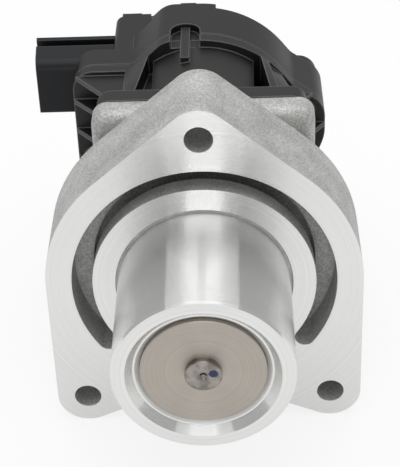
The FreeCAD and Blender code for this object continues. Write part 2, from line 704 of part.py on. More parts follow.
def cam_sleeve():
    """Tube with two opposite helical slots, closed behind, and the rear journal."""
    front = GUIDE_Y + SLEEVE_SET_IN
    shut = GUIDE_END_Y + PART_GAP
    journal_end = CUP_Y
    blank = turned([
        (front, SLEEVE_BORE_R), (front, SLEEVE_R), (SECTOR_END_Y, SLEEVE_R), (SECTOR_END_Y, JOURNAL_R),
        (journal_end, JOURNAL_R), (journal_end, 0), (shut, 0), (shut, SLEEVE_BORE_R)])
    return blank.cut(helical_slot(0) + helical_slot(180))


def roller_guide():
    """Fixed tube round the sleeve, with two straight slots that keep the cross pin level."""
    bore = SLEEVE_R + RUNNING
    half = ROLLER_R + ROLLER_PLAY / 2
    tube = ring(bore, SLEEVE_R + GUIDE_WALL, GUIDE_Y, GUIDE_END_Y)
    reach = SLEEVE_R + GUIDE_WALL + CUT_OVER
    slot = fuse([bar_x(half, -reach, reach, PIN_Y), bar_x(half, -reach, reach, PIN_Y - LIFT),
                 box(-reach, reach, PIN_Y - LIFT, PIN_Y, -half, half)])
    return tube.cut(slot)


def involute(angle):
    return math.tan(angle) - angle


def tooth_edges(teeth, module, centre_deg, cx, cz, y):
    """Edges of one involute tooth, and the angles at which it meets the root circle."""
    pitch_r = module * teeth / 2
    pressure = math.radians(PRESSURE_DEG)
    base_r = pitch_r * math.cos(pressure)
    root_r = pitch_r - ROOT_FACTOR * module
    tip_r = pitch_r + module
    half_pitch = math.pi / (2 * teeth) - BACKLASH / (4 * pitch_r)
    start_r = max(base_r, root_r)
    middle_r = (start_r + tip_r) / 2
    centre = math.radians(centre_deg)

    def half_angle(radius):
        return half_pitch + involute(pressure) - involute(math.acos(min(1.0, base_r / radius)))

    def spot(radius, angle):
        return at(cx + radius * math.cos(angle), cz + radius * math.sin(angle), y)

    def flank(side):
        return [spot(r, centre + side * half_angle(r)) for r in (start_r, middle_r, tip_r)]

    left, right = flank(-1), flank(1)
    edges = []
    if start_r > root_r:
        edges.append(Part.LineSegment(spot(root_r, centre - half_angle(start_r)), left[0]).toShape())
    edges.append(Part.Arc(*left).toShape())
    edges.append(Part.Arc(left[2], spot(tip_r, centre), right[2]).toShape())
    edges.append(Part.Arc(right[2], right[1], right[0]).toShape())
    if start_r > root_r:
        edges.append(Part.LineSegment(right[0], spot(root_r, centre + half_angle(start_r))).toShape())
    return edges, half_angle(start_r)


def root_arc(radius, start, end, cx, cz, y):
    angles = (start, (start + end) / 2, end)
    spots = [at(cx + radius * math.cos(a), cz + radius * math.sin(a), y) for a in angles]
    return Part.Arc(*spots).toShape()


def spur_gear(teeth, module, tooth_deg, cx, cz, y0, y1):
    """A full spur gear with one tooth centred at tooth_deg."""
    root_r = module * teeth / 2 - ROOT_FACTOR * module
    pitch = 2 * math.pi / teeth
    edges = []
    for k in range(teeth):
        centre = math.radians(tooth_deg) + k * pitch
        tooth, half = tooth_edges(teeth, module, math.degrees(centre), cx, cz, y0)
        edges += tooth
        edges.append(root_arc(root_r, centre + half, centre + pitch - half, cx, cz, y0))
    return Part.Face(Part.Wire(edges)).extrude(Vector(0, y1 - y0, 0))


def heading_deg(x0, z0, x1, z1):
    return math.degrees(math.atan2(z1 - z0, x1 - x0))


def sector_gear():
    """The toothed arc of the output gear, from one pitch past each end of its travel."""
    pitch_deg = 360.0 / SLOW_GEAR_TEETH
    pitch = math.radians(pitch_deg)
    root_r = SLOW_MODULE * SLOW_GEAR_TEETH / 2 - ROOT_FACTOR * SLOW_MODULE
    mesh_deg = heading_deg(0, 0, IDLER_X, IDLER_Z)
    last = mesh_deg + SECTOR_OVERRUN * pitch_deg
    centres = [math.radians(last - k * pitch_deg) for k in reversed(range(SECTOR_TEETH))]
    edges = []
    for k, centre in enumerate(centres):
        tooth, half = tooth_edges(SLOW_GEAR_TEETH, SLOW_MODULE, math.degrees(centre), 0, 0, SECTOR_Y)
        if k == 0:
            edges.append(root_arc(root_r, centre - pitch / 2, centre - half, 0, 0, SECTOR_Y))
        edges += tooth
        reach = pitch / 2 if k == SECTOR_TEETH - 1 else pitch - half
        edges.append(root_arc(root_r, centre + half, centre + reach, 0, 0, SECTOR_Y))
    first, final = centres[0] - pitch / 2, centres[-1] + pitch / 2
    rim_end = edges[-1].lastVertex().Point
    hub_end = at(SECTOR_HUB_R * math.cos(final), SECTOR_HUB_R * math.sin(final), SECTOR_Y)
    hub_start = at(SECTOR_HUB_R * math.cos(first), SECTOR_HUB_R * math.sin(first), SECTOR_Y)
    back = (final + first + 2 * math.pi) / 2
    hub_far = at(SECTOR_HUB_R * math.cos(back), SECTOR_HUB_R * math.sin(back), SECTOR_Y)
    rim_start = at(root_r * math.cos(first), root_r * math.sin(first), SECTOR_Y)
    edges.append(Part.LineSegment(rim_end, hub_end).toShape())
    edges.append(Part.Arc(hub_end, hub_far, hub_start).toShape())
    edges.append(Part.LineSegment(hub_start, rim_start).toShape())
    return Part.Face(Part.Wire(edges)).extrude(Vector(0, SECTOR_FACE, 0))


def cam_gear():
    hub = cylinder(SECTOR_HUB_R, GUIDE_END_Y + 2 * PART_GAP, SECTOR_END_Y)
    return fuse([sector_gear(), hub]).cut(cylinder(SLEEVE_R, GUIDE_END_Y, SECTOR_END_Y))


def magnet_holder():
    y1 = CUP_Y + MAGNET_CUP_LENGTH
    cup = cylinder(MAGNET_CUP_R, CUP_Y, y1)
    return cup.cut(cylinder(SENSOR_MAGNET_R, y1 - SENSOR_MAGNET_LENGTH, y1))


def sensor_magnet():
    y1 = CUP_Y + MAGNET_CUP_LENGTH
    return cylinder(SENSOR_MAGNET_R, y1 - SENSOR_MAGNET_LENGTH, y1)


def cam_bush():
    return ring(JOURNAL_R + RUNNING, CAM_BUSH_R, CAM_BUSH_Y, CAM_BUSH_Y + CAM_BUSH_LENGTH)


def sensor_board():
    board = cylinder(BOARD_R, DOME_INNER_Y - BOARD_THICKNESS, DOME_INNER_Y)
    half = CHIP_SIZE / 2
    front = DOME_INNER_Y - BOARD_THICKNESS - CHIP_HEIGHT
    return fuse([board, box(-half, half, front, DOME_INNER_Y - BOARD_THICKNESS, -half, half)])


# Idler

def idler_gear():
    tooth_deg = heading_deg(IDLER_X, IDLER_Z, 0, MOTOR_Z) + 180.0 / FAST_GEAR_TEETH
    wheel = spur_gear(FAST_GEAR_TEETH, FAST_MODULE, tooth_deg, IDLER_X, IDLER_Z, FAST_Y, FAST_END_Y)
    return wheel.cut(cylinder(AXLE_R + RUNNING, FAST_Y, FAST_END_Y, IDLER_X, IDLER_Z))


def idler_pinion():
    tooth_deg = heading_deg(IDLER_X, IDLER_Z, 0, 0)
    y0 = SECTOR_Y - PART_GAP
    wheel = spur_gear(SLOW_PINION_TEETH, SLOW_MODULE, tooth_deg, IDLER_X, IDLER_Z, y0, FAST_Y)
    return wheel.cut(cylinder(AXLE_R + RUNNING, y0, FAST_Y, IDLER_X, IDLER_Z))


def idler_axle():
    return cylinder(AXLE_R, FLOOR_Y, CAM_BUSH_Y + CAM_BUSH_LENGTH, IDLER_X, IDLER_Z)


# Motor

def can_outline(radius, flat, y0, y1):
    """Round bar with two side flats, on the motor's axis."""
    bar = cylinder(radius, y0, y1, 0, MOTOR_Z)
    return bar.common(box(-flat, flat, y0, y1, MOTOR_Z - radius, MOTOR_Z + radius))


def motor_can():
    outer = can_outline(MOTOR_R, MOTOR_FLAT, CAN_Y, CAN_END_Y)
    inner = can_outline(MOTOR_R - CAN_WALL, MOTOR_FLAT - CAN_WALL, CAN_Y + CAN_WALL, CAN_END_Y)
    return outer.cut([inner, cylinder(MOTOR_BUSH_R, CAN_Y, CAN_Y + CAN_WALL, 0, MOTOR_Z)])


def motor_bushes():
    front = ring(MOTOR_SHAFT_R + RUNNING, MOTOR_BUSH_R, CAN_Y, CAN_Y + CAN_WALL + BUSH_STANDS_IN, 0, MOTOR_Z)
    rear = ring(MOTOR_SHAFT_R + RUNNING, MOTOR_BUSH_R, CAN_END_Y, CAN_END_Y + END_CAP_LENGTH, 0, MOTOR_Z)
    return Part.makeCompound([front, rear])


def motor_end_cap():
    cap = can_outline(MOTOR_R, MOTOR_FLAT, CAN_END_Y, CAN_END_Y + END_CAP_LENGTH)
    return cap.cut(cylinder(MOTOR_BUSH_R, CAN_END_Y, CAN_END_Y + END_CAP_LENGTH, 0, MOTOR_Z))


def core_y():
    """Front end of the rotor core."""
    return CAN_Y + CAN_WALL + CORE_SET_BACK


def motor_magnets():
    """Two arcs held by the can's round sides."""
    y0 = core_y() - (MAGNET_LENGTH - CORE_LENGTH) / 2
    tube = ring(MAGNET_R, MOTOR_R - CAN_WALL, y0, y0 + MAGNET_LENGTH, 0, MOTOR_Z)
    half_x = MOTOR_R * math.sin(math.radians(MAGNET_HALF_DEG))
    keep = box(-half_x, half_x, y0, y0 + MAGNET_LENGTH, MOTOR_Z - MOTOR_R, MOTOR_Z + MOTOR_R)
    return Part.makeCompound(tube.common(keep).Solids)


def motor_brushes():
    """Two carbon blocks beside the commutator."""
    y0 = core_y() + CORE_LENGTH + BRUSH_SET_BACK
    bars = []
    for side in (-1, 1):
        near = side * (COMMUTATOR_R + RUNNING)
        far = side * (MOTOR_FLAT - CAN_WALL)
        half = BRUSH_SIZE / 2
        bars.append(box(min(near, far), max(near, far), y0, y0 + BRUSH_SIZE, MOTOR_Z - half, MOTOR_Z + half))
    return Part.makeCompound(bars)


def motor_shaft():
    return cylinder(MOTOR_SHAFT_R, CAN_Y - SHAFT_FRONT, FAST_END_Y + SHAFT_TAIL, 0, MOTOR_Z)


def core_slot(angle_deg, depth_r):
    """One winding slot, open at the rim and widening behind it."""
    y0 = core_y()
    half = CORE_SLOT_WIDTH / 2
    mouth = box(0, CORE_R + CUT_OVER, y0, y0 + CORE_LENGTH, -half, half)
    room_r = (CORE_R - depth_r) / 2 - SLOT_ROOM_INSET
    room = cylinder(room_r, y0, y0 + CORE_LENGTH, (CORE_R + depth_r) / 2 - SLOT_ROOM_SHIFT, 0)
    slot = fuse([mouth.cut(cylinder(depth_r, y0, y0 + CORE_LENGTH)), room])
    slot.rotate(AXIS_POINT, Y_AXIS, angle_deg)
    slot.translate(Vector(0, 0, MOTOR_Z))
    return slot


def rotor_core():
    core = ring(MOTOR_SHAFT_R, CORE_R, core_y(), core_y() + CORE_LENGTH, 0, MOTOR_Z)
    step = 360.0 / CORE_SLOTS
    return core.cut([core_slot(step * k, CORE_HUB_R) for k in range(CORE_SLOTS)])


def rotor_windings():
    """The end turns that stand out of the core at both ends."""
    y0, y1 = core_y(), core_y() + CORE_LENGTH
    outer = CORE_R - WINDING_REACH
    front = ring(CORE_HUB_R, outer, y0 - WINDING_REACH, y0, 0, MOTOR_Z)
    back = ring(CORE_HUB_R, outer, y1, y1 + WINDING_REACH, 0, MOTOR_Z)
    return Part.makeCompound([front, back])


def commutator():
    y0 = core_y() + CORE_LENGTH + WINDING_REACH
    return ring(MOTOR_SHAFT_R, COMMUTATOR_R, y0, y0 + COMMUTATOR_LENGTH, 0, MOTOR_Z)


def motor_pinion():
    tooth_deg = heading_deg(0, MOTOR_Z, IDLER_X, IDLER_Z)
    y0, y1 = FAST_Y - PINION_FRONT, FAST_END_Y + PINION_REAR
    wheel = spur_gear(FAST_PINION_TEETH, FAST_MODULE, tooth_deg, 0, MOTOR_Z, y0, y1)
    return wheel.cut(cylinder(MOTOR_SHAFT_R, y0, y1, 0, MOTOR_Z))


# Housing

def plate_corners(shrink=0.0):
    """The outline of the housing's plate, a little narrower than the ears that it seats on."""
    corners = [(PLATE_LEFT_X, PLATE_TOP_Z, EAR_CORNER_R), (PLATE_RIGHT_X, PLATE_TOP_Z, EAR_CORNER_R),
               (PLATE_RIGHT_X, EAR_BOTTOM_Z, EAR_CORNER_R), (PLATE_LEFT_X, EAR_BOTTOM_Z, EAR_CORNER_R)]
    return inset(corners, shrink) if shrink else corners

def post(spots):
    """A tapered screw post from the plate's top edge to the rim."""
    (fx0, fz0), (fx1, fz1), (rx0, rz0), (rx1, rz1) = spots
    front = Part.makePolygon([at(fx0, POST_FOOT_Z, PLATE_Y), at(fx1, POST_FOOT_Z, PLATE_Y),
                              at(fx1, fz1, PLATE_Y), at(fx0, fz0, PLATE_Y),
                              at(fx0, POST_FOOT_Z, PLATE_Y)])
    rear = Part.makePolygon([at(rx0, POST_FOOT_Z, RIM_Y), at(rx1, POST_FOOT_Z, RIM_Y), at(rx1, rz1, RIM_Y),
                             at(rx0, rz0, RIM_Y), at(rx0, POST_FOOT_Z, RIM_Y)])
    return Part.makeLoft([front, rear], True, True)


def side_rib(side, z, reach):
    """A level rib whose edge slants from the rim to the plate."""
    root = side * RIB_ROOT_X
    points = [Vector(side * reach, RIM_Y, z), Vector(root, RIM_Y, z), Vector(root, PLATE_Y, z),
              Vector(side * SIDE_RIB_REACH, PLATE_Y, z)]
    face = Part.Face(Part.makePolygon(points + [points[0]]))
    return face.extrude(Vector(0, 0, RIB_THICKNESS))


def rim_reach(side, z):
    """How far the rim's outline goes sideways at one height."""
    line = Part.makeLine(at(0, z, RIM_Y), at(side * FAR_OUT, z, RIM_Y))
    meets = line.common(Part.Face(rounded_wire(RIM_CORNERS, RIM_Y)))
    return max(abs(vertex.X) for vertex in meets.Vertexes)


def low_rib(x):
    """An upright rib under the barrel."""
    low = EAR_BOTTOM_Z + LOW_RIB_SET_IN
    return box(x, x + RIB_THICKNESS, PLATE_Y, RIM_Y, low, LOW_RIB_TOP_Z)


def barrel():
    """Arched barrel over the motor, and the round tunnel of the stem below it."""
    arch = cylinder(BARREL_ARC_R, PLATE_Y, RIM_Y, 0, BARREL_TOP_Z - BARREL_ARC_R)
    slab = box(BARREL_LEFT_X, BARREL_RIGHT_X, PLATE_Y, RIM_Y, 0, BARREL_TOP_Z)
    return fuse([arch.common(slab), cylinder(TUNNEL_R + TUNNEL_WALL, PLATE_Y, RIM_Y)])


def rim():
    """The tray that the rear cover closes: floor, wall and the fine shadow groove."""
    tray = prism(RIM_CORNERS, RIM_Y, PARTING_Y - SHADOW_GROOVE)
    lip = prism(inset(RIM_CORNERS, SHADOW_GROOVE), PARTING_Y - SHADOW_GROOVE, PARTING_Y)
    hollow = prism(inset(RIM_CORNERS, RIM_WALL), FLOOR_Y, PARTING_Y)
    return fuse([tray, lip]).cut(hollow)


def cover_screw_bosses():
    y0 = PARTING_Y - COVER_BOSS_LENGTH
    inside = prism(RIM_CORNERS, y0, PARTING_Y - SHADOW_GROOVE)
    places = [(x, z, y0) for x, z in COVER_SCREWS] + [(*COVER_PEG, RIM_Y)]
    back = PARTING_Y - SHADOW_GROOVE
    return [cylinder(COVER_BOSS_R, front, back, x, z).common(inside) for x, z, front in places]


def driver_tunnels(grow, y0):
    """Round ways from the tray down to the housing screws' heads."""
    radius = EAR_SCREW_HEAD_R + TUNNEL_GAP + grow
    return [cylinder(radius, y0, FLOOR_Y, x, z) for x, z in EAR_SCREWS]


def clip_rib():
    """Rooted in the barrel and the tray, and reaching free over the notch's floor in the cover."""
    x0, x1 = CLIP_X - CLIP_WIDTH / 2, CLIP_X + CLIP_WIDTH / 2
    top = BARREL_TOP_Z + CLIP_HEIGHT
    rooted = box(x0, x1, RIM_Y - CLIP_REACH, PARTING_Y, BARREL_TOP_Z - CLIP_ROOT, top)
    return fuse([rooted, box(x0, x1, RIM_Y, RIM_Y + CLIP_BACK, BARREL_TOP_Z + SOCKET_GAP, top)])


def notch_room(grow, drop, y0, y1):
    """The room of the arch notch above its floor, with square sides."""
    half = NOTCH_HALF_WIDTH + grow
    return box(CLIP_X - half, CLIP_X + half, y0, y1, BARREL_TOP_Z - drop, BARREL_TOP_Z + NOTCH_CLEAR)


def seal_track(y0, y1):
    """The closed ring that the cover seal fills. It dips under the arch notch."""
    bands = []
    for step in (0, SEAL_WIDTH):
        reach = SEAL_SET_IN + step
        bands.append(prism(inset(RIM_CORNERS, reach), y0, y1).cut(notch_room(reach, reach, y0, y1)))
    return bands[0].cut(bands[1])


def housing_seal():
    inner = TUNNEL_R + TUNNEL_WALL + GASKET_INSET
    return ring(inner, inner + GASKET_WIDTH, MOUNT_Y, MOUNT_Y + GASKET_HEIGHT)


def actuator_housing():
    solids = [prism(plate_corners(), MOUNT_Y, PLATE_Y),
              prism(plate_corners(STEP_INSET), PLATE_Y, PLATE_Y + STEP_THICKNESS),
              barrel(), rim(), post(LEFT_POST), post(RIGHT_POST), post(RIGHT_WEB)]
    solids += [side_rib(-1, z, rim_reach(-1, z)) for z in LEFT_RIB_Z]
    solids += [side_rib(1, z, rim_reach(1, z)) for z in RIGHT_RIB_Z]
    solids += [low_rib(x) for x in LOW_RIB_X]
    solids += cover_screw_bosses()
    solids += driver_tunnels(COVER_WALL, PLATE_Y)
    solids.append(cylinder(MOTOR_R + COVER_WALL, FLOOR_Y, PARTING_Y, 0, MOTOR_Z))
    solids.append(cylinder(AXLE_R + COVER_WALL, FLOOR_Y, SECTOR_Y - 2 * PART_GAP, IDLER_X, IDLER_Z))
    floor_z = BARREL_TOP_Z - SEAL_SET_IN - SEAL_WIDTH - RUNNING
    solids.append(notch_room(NOTCH_FLOOR, BARREL_TOP_Z - floor_z, FLOOR_Y, PARTING_Y).common(
        prism(inset(RIM_CORNERS, SEAL_SET_IN / 2), FLOOR_Y, PARTING_Y)))
    body = fuse(solids)
    gap = MOTOR_POCKET_GAP
    cuts = [
        can_outline(MOTOR_R + gap, MOTOR_FLAT + gap, CAN_Y - POCKET_FRONT, CAN_END_Y + END_CAP_LENGTH),
        cylinder(TUNNEL_R, MOUNT_Y, RIM_Y),
        cylinder(SLEEVE_R + GUIDE_WALL, GUIDE_Y, CAN_END_Y + END_CAP_LENGTH),
        cylinder(AXLE_R, FLOOR_Y, SECTOR_Y, IDLER_X, IDLER_Z),
        housing_seal(),
        seal_track(PARTING_Y - SEAL_HEIGHT, PARTING_Y),
        notch_room(0, 0, RIM_Y, PARTING_Y),
    ]
    cuts += [cylinder(EAR_SCREW_R, MOUNT_Y, PLATE_Y + STEP_THICKNESS, x, z) for x, z in EAR_SCREWS]
    cuts += driver_tunnels(0, PLATE_Y + STEP_THICKNESS)
    hole_end = PARTING_Y - COVER_BOSS_LENGTH + BOSS_FLOOR
    cuts += [cylinder(COVER_SCREW_R, hole_end, PARTING_Y, x, z) for x, z in COVER_SCREWS]
    cuts.append(cylinder(COVER_SCREW_R + SOCKET_GAP, RIM_Y + BOSS_FLOOR, PARTING_Y, *COVER_PEG))
    return fuse([body.cut(cuts), clip_rib()])


def screw(x, z, y_tip, y_seat, shank_r, head_r, head):
    """A pan head screw with a hexagon socket, put in from the rear."""
    y1 = y_seat + head
    crown = head * HEAD_CROWN
    blank = turned([
        (y_tip, 0), (y_tip, shank_r - SCREW_POINT), (y_tip + SCREW_POINT, shank_r), (y_seat, shank_r),
        (y_seat, head_r), (y1 - crown, head_r), (y1, head_r - crown), (y1, 0)])
    key_r = head_r * SOCKET_SHARE
    corners = [(key_r * math.cos(math.pi * k / 3), key_r * math.sin(math.pi * k / 3), 0) for k in range(6)]
    made = blank.cut(prism(corners, y_seat + crown, y1))
    made.translate(Vector(x, 0, z))
    return made


def housing_screws():
    seat = PLATE_Y + STEP_THICKNESS
    tip = MOUNT_Y - EAR_SCREW_GRIP + BOSS_FLOOR
    return Part.makeCompound([screw(x, z, tip, seat, EAR_SCREW_R, EAR_SCREW_HEAD_R, EAR_SCREW_HEAD)
                              for x, z in EAR_SCREWS])


def cover_screws():
    seat = PARTING_Y + BASE_DEPTH
    tip = PARTING_Y - COVER_SCREW_GRIP
    return Part.makeCompound([screw(x, z, tip, seat, COVER_SCREW_R, COVER_HEAD_R, COVER_HEAD)
                              for x, z in COVER_SCREWS])


def cover_seal():
    return seal_track(PARTING_Y - SEAL_HEIGHT, PARTING_Y)


# Cover and connector

def arch_notch():
    """The notch in the cover's skirt, over the clip rib."""
    y_arch = PARTING_Y + NOTCH_REACH - NOTCH_HALF_WIDTH
    foot = Vector(CLIP_X, y_arch, BARREL_TOP_Z)
    arch = Part.makeCylinder(NOTCH_HALF_WIDTH, NOTCH_CLEAR, foot, Vector(0, 0, 1))
    return fuse([arch, notch_room(0, 0, PARTING_Y - RIM_DEPTH, y_arch)])


def shell_block(grow=0.0):
    """The connector's outer block, from its slanted mouth to the dome's side."""
    x1 = DOME_CORNERS[0][0]
    y0, y1 = SHELL_Y - grow, SHELL_BACK_Y + grow
    z0, z1 = SHELL_BOTTOM_Z - grow, SHELL_TOP_Z + grow
    spots = [Vector(SHELL_REACH_X, y0, z0), Vector(x1, y0, z0), Vector(x1, y1, z0),
             Vector(SHELL_REACH_X - MOUTH_SLANT, y1, z0)]
    block = Part.Face(Part.makePolygon(spots + [spots[0]])).extrude(Vector(0, 0, z1 - z0))
    block = block.makeFillet(SHELL_TOP_EDGE_R + grow, edges_along_x(block, y0, z1))
    others = edges_along_x(block, y0, z0) + edges_along_x(block, y1, z0) + edges_along_x(block, y1, z1)
    return block.makeFillet(SHELL_CORNER_R + grow, others)


def tail_block(grow=0.0):
    """The connector's tail through the dome's side wall."""
    x0 = DOME_CORNERS[0][0]
    inside = TAIL_MARGIN - grow
    return box(x0, x0 + COVER_WALL, SHELL_Y + inside, SHELL_BACK_Y - inside,
               SHELL_BOTTOM_Z + inside, SHELL_TOP_Z - inside - TAIL_DROP)


def crest_steps():
    """The deeper top of the arc and the small platform on it."""
    steps = []
    for (x0, x1), depth in ((CREST_X, CREST_DEPTH), (STEP_X, STEP_DEPTH)):
        y1 = PARTING_Y + depth
        room = box(x0, x1, PARTING_Y, y1, CREST_FOOT_Z, BARREL_TOP_Z + NOTCH_CLEAR)
        steps.append(prism(ARC_CORNERS, PARTING_Y, y1).common(room))
    return steps


def dome_pads():
    """Raised pads on the dome's back, at its top left corner."""
    pads = []
    for x0, x1, height in DOME_PADS:
        y0 = PARTING_Y + DOME_DEPTH - COVER_EDGE_R
        y1 = PARTING_Y + DOME_DEPTH + height
        top = DOME_CORNERS[0][1]
        corners = [(x0, DOME_PAD_FOOT_Z, 0), (x1, DOME_PAD_FOOT_Z, 0), (x1, top, 0), (x0, top, 0)]
        pad = prism(corners, y0, y1)
        pads.append(pad.makeChamfer(height / 2, edges_at_y(pad, y1)))
    return pads


def lobe_boss():
    """Round boss of the first cover screw, standing out of the right lobe."""
    boss = cylinder(LOBE_BOSS_R, PARTING_Y, PARTING_Y + LOBE_BOSS_DEPTH, *COVER_SCREWS[0])
    return boss.makeFillet(COVER_EDGE_R / 2, edges_at_y(boss, PARTING_Y + LOBE_BOSS_DEPTH))


def rear_cover():
    base = prism(RIM_CORNERS, PARTING_Y, PARTING_Y + BASE_DEPTH)
    base = base.makeFillet(COVER_EDGE_R, edges_at_y(base, PARTING_Y + BASE_DEPTH))
    arc = prism(ARC_CORNERS, PARTING_Y, PARTING_Y + ARC_DEPTH)
    arc = arc.makeFillet(COVER_EDGE_R, edges_at_y(arc, PARTING_Y + ARC_DEPTH))
    dome = prism(DOME_CORNERS, PARTING_Y, PARTING_Y + DOME_DEPTH)
    dome = dome.makeFillet(COVER_EDGE_R, edges_at_y(dome, PARTING_Y + DOME_DEPTH))
    back = DOME_INNER_Y + BOSS_ROOT
    boss = ring(CAM_BUSH_R, CAM_BUSH_R + BUSH_BOSS_WALL, CAM_BUSH_Y - BUSH_BOSS_LIP, back)
    axle_boss = cylinder(AXLE_R + COVER_WALL, CAM_BUSH_Y, back, IDLER_X, IDLER_Z)
    shell = fuse([base, arc, dome, lobe_boss()] + crest_steps() + dome_pads())
    hollow = fuse([
        prism(inset(RIM_CORNERS, RIM_WALL), PARTING_Y, PARTING_Y + BASE_ROOM_DEPTH),
        prism(inset(ARC_CORNERS, COVER_SKIRT), PARTING_Y, PARTING_Y + ARC_DEPTH - COVER_WALL),
        prism(inset(DOME_CORNERS, COVER_WALL), PARTING_Y, DOME_INNER_Y)])
    notch_wall = notch_room(COVER_WALL, NOTCH_FLOOR, PARTING_Y, PARTING_Y + NOTCH_REACH + COVER_WALL)
    seat = PARTING_Y + BASE_DEPTH
    screw_bosses = [cylinder(COVER_BOSS_R, PARTING_Y, seat + COVER_WALL, x, z) for x, z in COVER_SCREWS]
    hollow = hollow.cut([notch_wall, boss, axle_boss] + screw_bosses)
    cuts = [hollow, arch_notch(), shell_block(SOCKET_GAP), tail_block(SOCKET_GAP),
            cylinder(AXLE_R, CAM_BUSH_Y, CAM_BUSH_Y + CAM_BUSH_LENGTH, IDLER_X, IDLER_Z)]
    for x, z in COVER_SCREWS:
        cuts.append(cylinder(COVER_SCREW_R, PARTING_Y, seat, x, z))
        cuts.append(cylinder(COVER_HEAD_R + HEAD_RECESS_GAP, seat, PARTING_Y + DOME_DEPTH, x, z))
    peg = cylinder(COVER_SCREW_R, PARTING_Y - COVER_PEG_LENGTH, PARTING_Y, *COVER_PEG)
    return fuse([shell.cut(cuts), peg])


def connector_shell():
    block = shell_block()
    x0, x1 = SHELL_REACH_X, DOME_CORNERS[0][0]
    groove_y = SHELL_Y + GROOVE_SET_BACK
    mouth_x = x0 - MOUTH_SLANT
    socket = box(mouth_x, SHELL_FLOOR_X, SHELL_Y + SHELL_WALL, SHELL_BACK_Y - SHELL_WALL,
                 SHELL_BOTTOM_Z + SHELL_WALL, SHELL_TOP_Z - GROOVE_DEPTH - SHELL_WALL)
    key = box(mouth_x, SHELL_FLOOR_X, SHELL_Y + SHELL_WALL, groove_y - SHELL_WALL,
              SHELL_BOTTOM_Z + SHELL_WALL, SHELL_TOP_Z - SHELL_WALL)
    groove = box(mouth_x, x1, groove_y, groove_y + GROOVE_WIDTH, SHELL_TOP_Z - GROOVE_DEPTH, SHELL_TOP_Z)
    return fuse([block, tail_block()]).cut([socket, key, groove] + pin_bars(SHELL_FLOOR_X, x1 + COVER_WALL))


def pin_bars(x0, x1):
    middle = (SHELL_Y + SHELL_BACK_Y) / 2
    z = (SHELL_BOTTOM_Z + SHELL_TOP_Z - GROOVE_DEPTH) / 2
    half = PIN_SIZE / 2
    bars = []
    for k in range(PIN_COUNT):
        y = middle + (k - (PIN_COUNT - 1) / 2) * PIN_PITCH
        bars.append(box(x0, x1, y - half, y + half, z - half, z + half))
    return bars


def connector_pins():
    return Part.makeCompound(pin_bars(PIN_TIP_X, DOME_CORNERS[0][0] + COVER_WALL))


NODES = {
    "valve_body": valve_body, "nozzle_tube": nozzle_tube, "seat_ring": seat_ring,
    "stem_guide_bush": stem_guide_bush, "stem_seal": stem_seal, "seal_retainer": seal_retainer,
    "valve_disc": valve_disc, "valve_stem": valve_stem, "spring_plate": spring_plate,
    "plate_collet": plate_collet, "return_spring": return_spring, "cross_pin": cross_pin,
    "cam_rollers": cam_rollers, "guide_rollers": guide_rollers,
    "cam_sleeve": cam_sleeve, "roller_guide": roller_guide, "cam_gear": cam_gear, "cam_bush": cam_bush,
    "magnet_holder": magnet_holder, "sensor_magnet": sensor_magnet, "sensor_board": sensor_board,
    "idler_gear": idler_gear, "idler_pinion": idler_pinion, "idler_axle": idler_axle,
    "motor_can": motor_can, "motor_bushes": motor_bushes, "motor_end_cap": motor_end_cap,
    "motor_magnets": motor_magnets, "motor_brushes": motor_brushes, "motor_shaft": motor_shaft,
    "rotor_core": rotor_core, "rotor_windings": rotor_windings, "commutator": commutator,
    "motor_pinion": motor_pinion,
    "actuator_housing": actuator_housing, "housing_screws": housing_screws, "housing_seal": housing_seal,
    "rear_cover": rear_cover, "cover_screws": cover_screws, "cover_seal": cover_seal,
    "connector_shell": connector_shell, "connector_pins": connector_pins,
}

os.makedirs("parts", exist_ok=True)
for name, make in NODES.items():
    shape = make()
    shape.exportStep("parts/" + name + ".step")
    state = "valid" if shape.isValid() else "INVALID"
    print(name, len(shape.Solids), "solids", round(shape.Volume, 1), "mm3", state)
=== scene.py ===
# %% [markdown]
# An electric exhaust gas valve, dressed over its CAD frame.
# The frame holds every solid already, so this lesson makes what a solid model leaves out:
# cast grain, turning marks, moulded plastic, the gloss of steel, and the studio round the part.

# %% Load the frame and keep its box
import math

import bpy
from mathutils import Matrix, Vector


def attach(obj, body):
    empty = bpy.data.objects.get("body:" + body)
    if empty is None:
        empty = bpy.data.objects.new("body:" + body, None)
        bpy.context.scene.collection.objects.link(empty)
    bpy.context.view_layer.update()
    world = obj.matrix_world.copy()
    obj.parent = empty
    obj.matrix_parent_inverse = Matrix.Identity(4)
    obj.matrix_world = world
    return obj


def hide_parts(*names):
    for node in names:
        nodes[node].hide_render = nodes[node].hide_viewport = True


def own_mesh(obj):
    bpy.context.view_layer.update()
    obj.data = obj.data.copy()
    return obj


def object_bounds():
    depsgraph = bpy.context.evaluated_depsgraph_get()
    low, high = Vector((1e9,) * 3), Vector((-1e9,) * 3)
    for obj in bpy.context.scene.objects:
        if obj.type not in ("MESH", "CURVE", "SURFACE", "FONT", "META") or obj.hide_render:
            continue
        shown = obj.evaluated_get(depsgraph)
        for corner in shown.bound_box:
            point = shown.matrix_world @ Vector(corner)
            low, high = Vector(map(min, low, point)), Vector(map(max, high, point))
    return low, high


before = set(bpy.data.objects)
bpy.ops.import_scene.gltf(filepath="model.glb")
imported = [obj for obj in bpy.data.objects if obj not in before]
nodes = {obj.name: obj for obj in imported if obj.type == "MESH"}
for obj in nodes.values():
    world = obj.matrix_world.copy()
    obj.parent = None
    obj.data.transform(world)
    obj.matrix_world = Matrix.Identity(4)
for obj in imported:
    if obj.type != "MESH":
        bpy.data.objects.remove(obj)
CAD_BOX = [list(corner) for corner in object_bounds()]
print("CAD box", CAD_BOX)

MM = 0.001
PHOTO_WIDTH, PHOTO_HEIGHT = 400, 467

